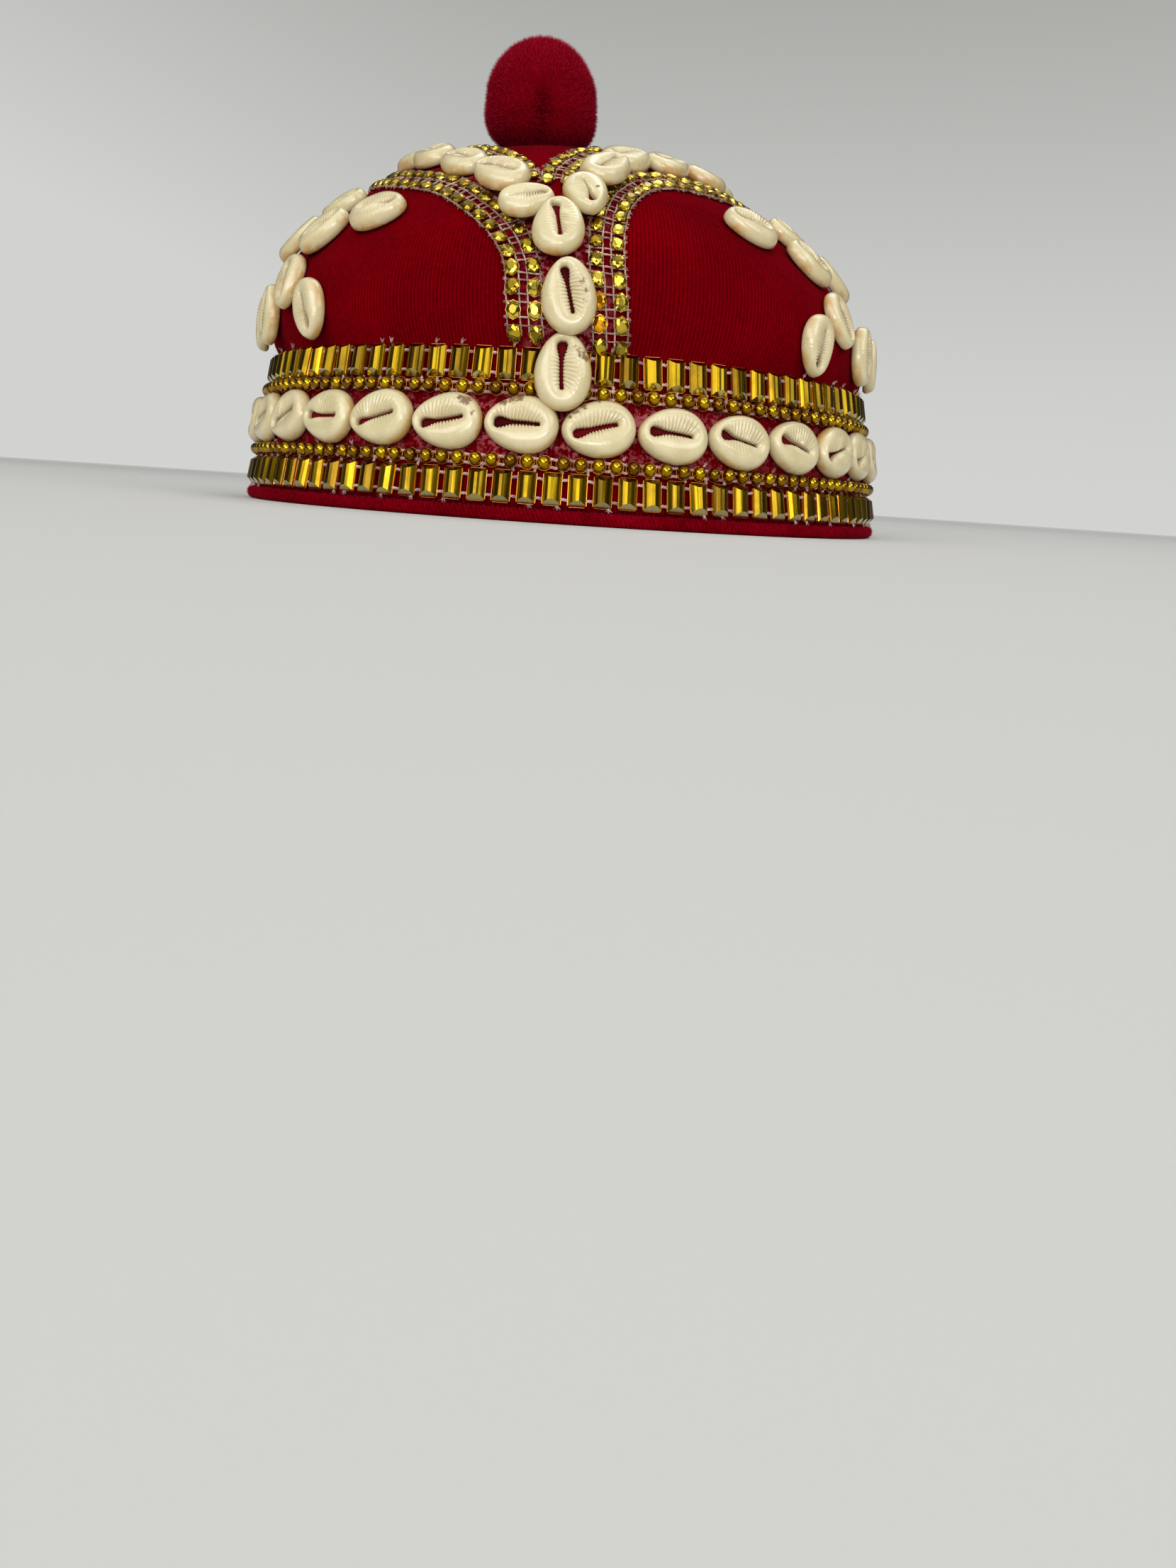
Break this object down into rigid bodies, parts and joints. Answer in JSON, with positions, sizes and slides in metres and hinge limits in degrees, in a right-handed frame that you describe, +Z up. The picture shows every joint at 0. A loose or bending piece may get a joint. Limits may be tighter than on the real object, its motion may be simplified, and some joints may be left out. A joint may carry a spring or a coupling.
{
  "type": "velvet cap",
  "caption": "Round crimson velvet cap with a domed crown, a band of cowrie shells between gold bead trims, rhinestone strips and a pompom.",
  "frame": {"origin": "middle of the rim, on the plane that the rim rests on", "axes": "+Z up through the crown; the wearer's face looks along -Y; +X to the wearer's left"},
  "size_m": [0.2, 0.2, 0.1363],
  "materials": {
    "crimson_velvet": "deep crimson ribbed velvet, paler and pinker at a grazing angle",
    "black_lining": "black brushed knit",
    "pompom_yarn": "crimson ribbed velvet ball, fuzzy",
    "cowrie_shell": "glossy cream shell, ground open at the back",
    "gold_bead": "metallised yellow gold, glossy, with twisted pinkish white thread between the beads",
    "gold_rhinestone": "faceted yellow gold stones in small gold cups on a thread net"
  },
  "bodies": {
    "root": {"crown_shell": "crimson_velvet", "rim_roll": "crimson_velvet", "lining": "black_lining", "pompom": "pompom_yarn", "lower_baguette_ring": "gold_bead", "upper_baguette_ring": "gold_bead", "lower_ball_row": "gold_bead", "upper_ball_row": "gold_bead", "outer_rhinestone_strip": "gold_rhinestone", "inner_rhinestone_strip": "gold_rhinestone", "band_cowries_front": "cowrie_shell", "band_cowries_right": "cowrie_shell", "band_cowries_back": "cowrie_shell", "band_cowries_left": "cowrie_shell", "back_cowrie_1": "cowrie_shell", "back_cowrie_2": "cowrie_shell", "back_cowrie_3": "cowrie_shell", "back_cowrie_4": "cowrie_shell", "back_cowrie_5": "cowrie_shell", "back_cowrie_6": "cowrie_shell", "back_cowrie_7": "cowrie_shell", "back_cowrie_8": "cowrie_shell", "back_cowrie_9": "cowrie_shell", "back_cowrie_10": "cowrie_shell", "back_cowrie_11": "cowrie_shell", "back_cowrie_12": "cowrie_shell", "crown_cowrie_1": "cowrie_shell", "crown_cowrie_2": "cowrie_shell", "crown_cowrie_3": "cowrie_shell", "crown_cowrie_4": "cowrie_shell", "crown_cowrie_5": "cowrie_shell", "crown_cowrie_6": "cowrie_shell", "crown_cowrie_7": "cowrie_shell", "crown_cowrie_8": "cowrie_shell", "front_cowrie_1": "cowrie_shell", "front_cowrie_2": "cowrie_shell", "front_cowrie_3": "cowrie_shell", "left_cowrie_1": "cowrie_shell", "left_cowrie_2": "cowrie_shell", "left_cowrie_3": "cowrie_shell", "left_cowrie_4": "cowrie_shell", "left_cowrie_5": "cowrie_shell", "left_cowrie_6": "cowrie_shell", "left_cowrie_7": "cowrie_shell", "left_cowrie_8": "cowrie_shell", "right_cowrie_1": "cowrie_shell", "right_cowrie_2": "cowrie_shell", "right_cowrie_3": "cowrie_shell", "right_cowrie_4": "cowrie_shell", "right_cowrie_5": "cowrie_shell", "right_cowrie_6": "cowrie_shell", "right_cowrie_7": "cowrie_shell", "right_cowrie_8": "cowrie_shell"}
  },
  "joints": []
}
